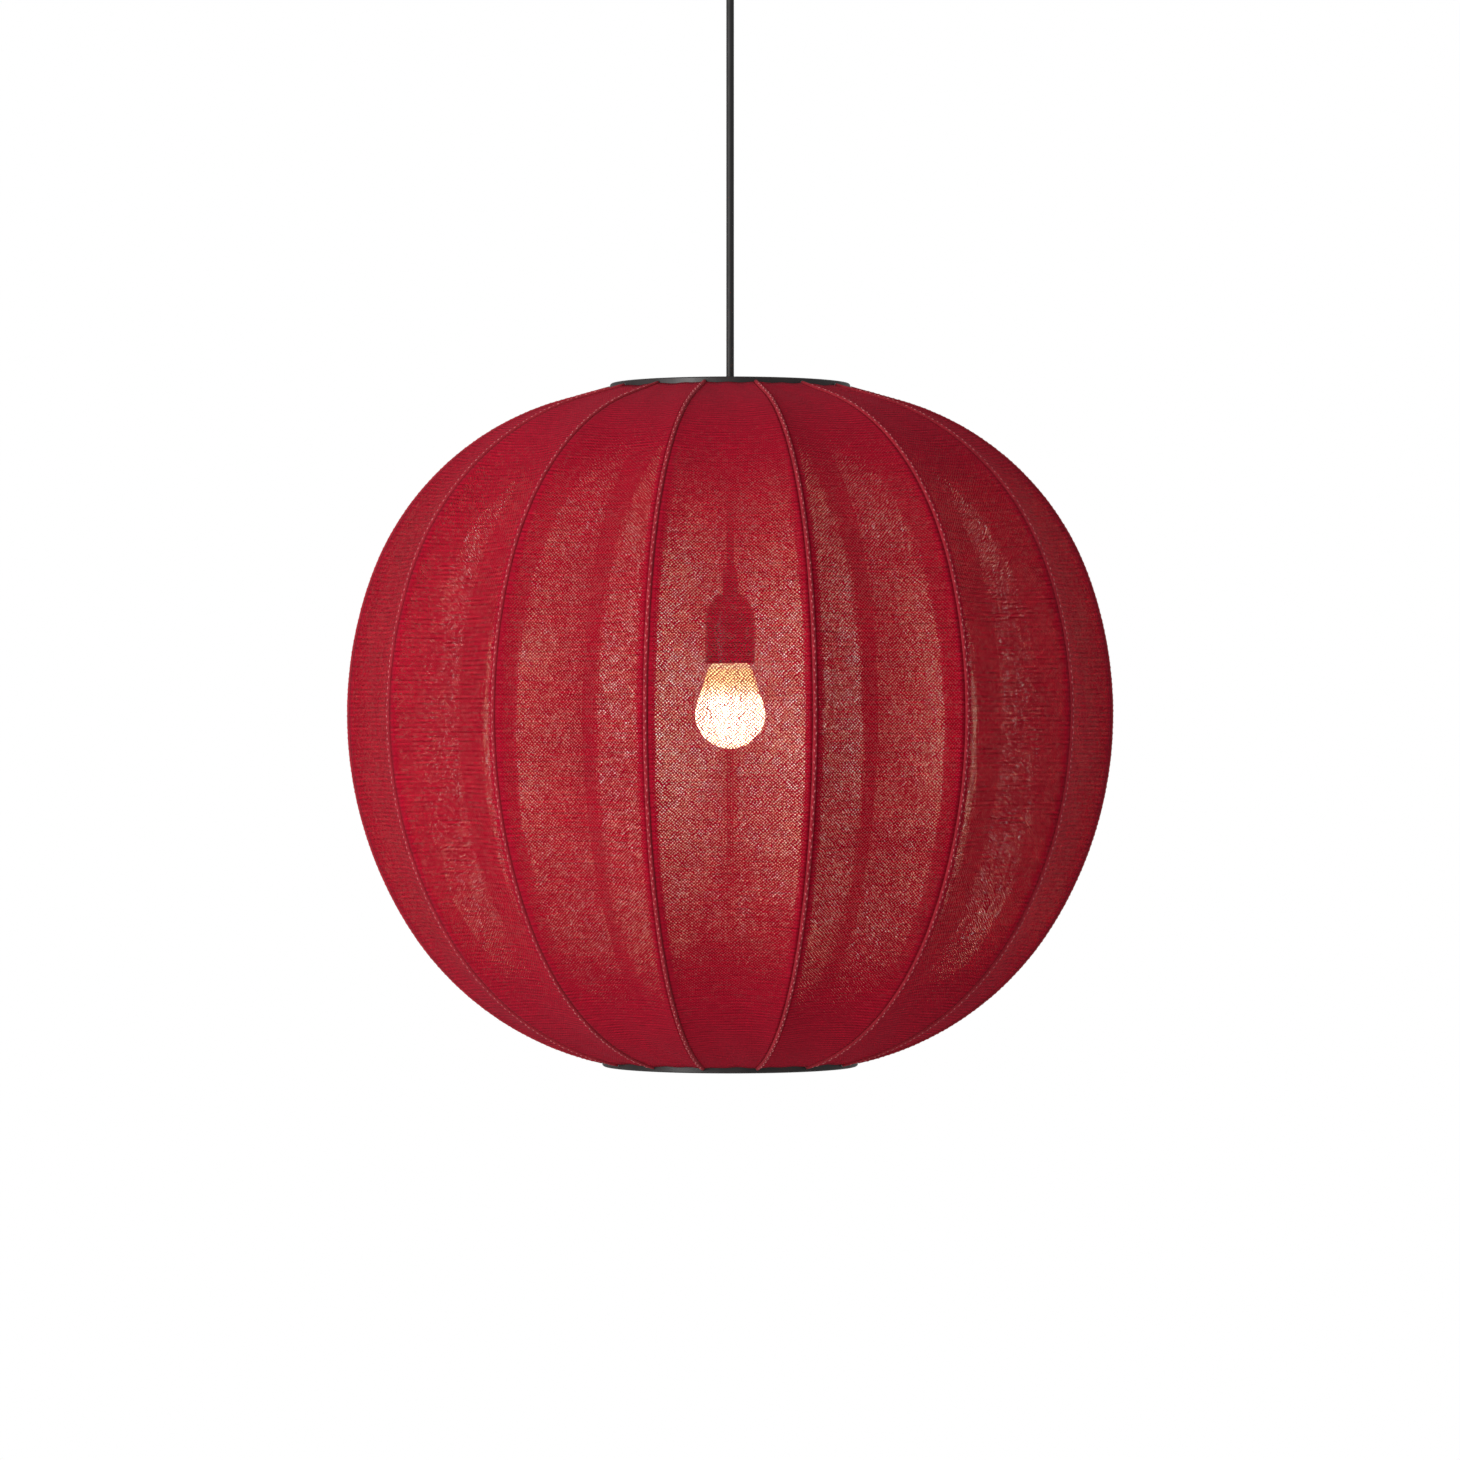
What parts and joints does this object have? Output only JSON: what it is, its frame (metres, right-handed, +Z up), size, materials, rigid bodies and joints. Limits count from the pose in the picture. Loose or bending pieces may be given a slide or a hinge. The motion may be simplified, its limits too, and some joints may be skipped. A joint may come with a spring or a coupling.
{
  "type": "pendant globe lamp",
  "caption": "Hanging globe lamp: a stretched knitted shade on bowed ribs between two rings, with cord, ceiling rose, lampholder and opal screw bulb.",
  "frame": {"origin": "on the ceiling, on the cord axis, at the centre of the bracket screws", "axes": "+Z up into the ceiling, +X along the ceiling bracket, -Y towards the front"},
  "size_m": [0.5952, 0.5919, 0.925],
  "materials": {
    "bracket_steel": "zinc plated",
    "clamp_plastic": "satin",
    "screw_steel": "plated",
    "terminal_plastic": "satin",
    "lead_insulation": "satin",
    "rose_enamel": "satin powder coat",
    "black_plastic": "satin",
    "cord_sheath": "satin",
    "grip_metal": "satin",
    "spider_steel": "satin powder coat",
    "ring_enamel": "satin powder coat",
    "rib_steel": "spring steel",
    "knit_fabric": "fine open knit, translucent",
    "holder_plastic": "gloss",
    "insert_ceramic": "unglazed",
    "shell_brass": "plain",
    "cap_aluminium": "plain",
    "collar_plastic": "satin",
    "board": "white solder mask",
    "opal_globe": "opal, lit"
  },
  "bodies": {
    "ceiling": {"ceiling_bracket": "bracket_steel", "strain_clamp": "clamp_plastic", "clamp_screws": "screw_steel", "terminal_block": "terminal_plastic", "cord_leads": "lead_insulation", "cord_ceiling": "cord_sheath"},
    "rose": {"ceiling_rose": "rose_enamel", "rose_gland": "black_plastic", "rose_grub_screw": "screw_steel"},
    "swing_link": {"cord_swing_link": "cord_sheath"},
    "pendulum": {"cord_main": "cord_sheath", "cord_grip": "grip_metal", "grip_nut": "grip_metal", "grip_grub_screw": "screw_steel"},
    "shade": {"top_spider": "spider_steel", "spider_screws": "screw_steel", "top_ring": "ring_enamel", "bottom_ring": "ring_enamel", "rib_01": "rib_steel", "rib_02": "rib_steel", "rib_03": "rib_steel", "rib_04": "rib_steel", "rib_05": "rib_steel", "rib_06": "rib_steel", "rib_07": "rib_steel", "rib_08": "rib_steel", "rib_09": "rib_steel", "rib_10": "rib_steel", "rib_11": "rib_steel", "rib_12": "rib_steel", "rib_13": "rib_steel", "rib_14": "rib_steel", "rib_15": "rib_steel", "knit_gore_01": "knit_fabric", "knit_gore_02": "knit_fabric", "knit_gore_03": "knit_fabric", "knit_gore_04": "knit_fabric", "knit_gore_05": "knit_fabric", "knit_gore_06": "knit_fabric", "knit_gore_07": "knit_fabric", "knit_gore_08": "knit_fabric", "knit_gore_09": "knit_fabric", "knit_gore_10": "knit_fabric", "knit_gore_11": "knit_fabric", "knit_gore_12": "knit_fabric", "knit_gore_13": "knit_fabric", "knit_gore_14": "knit_fabric", "knit_gore_15": "knit_fabric"},
    "holder": {"cord_holder": "cord_sheath", "holder_neck": "holder_plastic", "holder_dome": "holder_plastic", "holder_skirt": "holder_plastic", "holder_insert": "insert_ceramic", "holder_screw_shell": "shell_brass", "holder_contact": "shell_brass"},
    "bulb_carrier": {"bulb_tip": "shell_brass"},
    "bulb": {"bulb_cap": "cap_aluminium", "bulb_collar": "collar_plastic", "bulb_board": "board", "bulb_globe": "opal_globe"}
  },
  "joints": [
    {"name": "rose_drop", "type": "slide", "parent": "ceiling", "child": "rose", "axis": [0, 0, -1], "range_m": [0, 0.06]},
    {"name": "swing_side", "type": "hinge", "parent": "ceiling", "child": "swing_link", "pos_m": [0, 0, -0.118], "axis": [0, 1, 0], "range_deg": [-20, 20]},
    {"name": "swing_depth", "type": "hinge", "parent": "swing_link", "child": "pendulum", "pos_m": [0, 0, -0.15], "axis": [1, 0, 0], "range_deg": [-20, 20]},
    {"name": "shade_turn", "type": "hinge", "parent": "pendulum", "child": "shade", "pos_m": [0, 0, -0.39495], "axis": [0, 0, 1], "continuous": true},
    {"name": "holder_swing", "type": "hinge", "parent": "pendulum", "child": "holder", "pos_m": [0, 0, -0.42075], "axis": [0, 1, 0], "range_deg": [-15, 15]},
    {"name": "bulb_travel", "type": "slide", "parent": "holder", "child": "bulb_carrier", "axis": [0, 0, -1], "range_m": [0, 0.01633]},
    {"name": "bulb_turn", "type": "hinge", "parent": "bulb_carrier", "child": "bulb", "pos_m": [0, 0, -0.6], "axis": [0, 0, -1], "range_deg": [0, 1620]}
  ],
  "couplings": [
    {"joint": "bulb_turn", "follows": "bulb_travel", "rad_per_m": 1731.4}
  ]
}
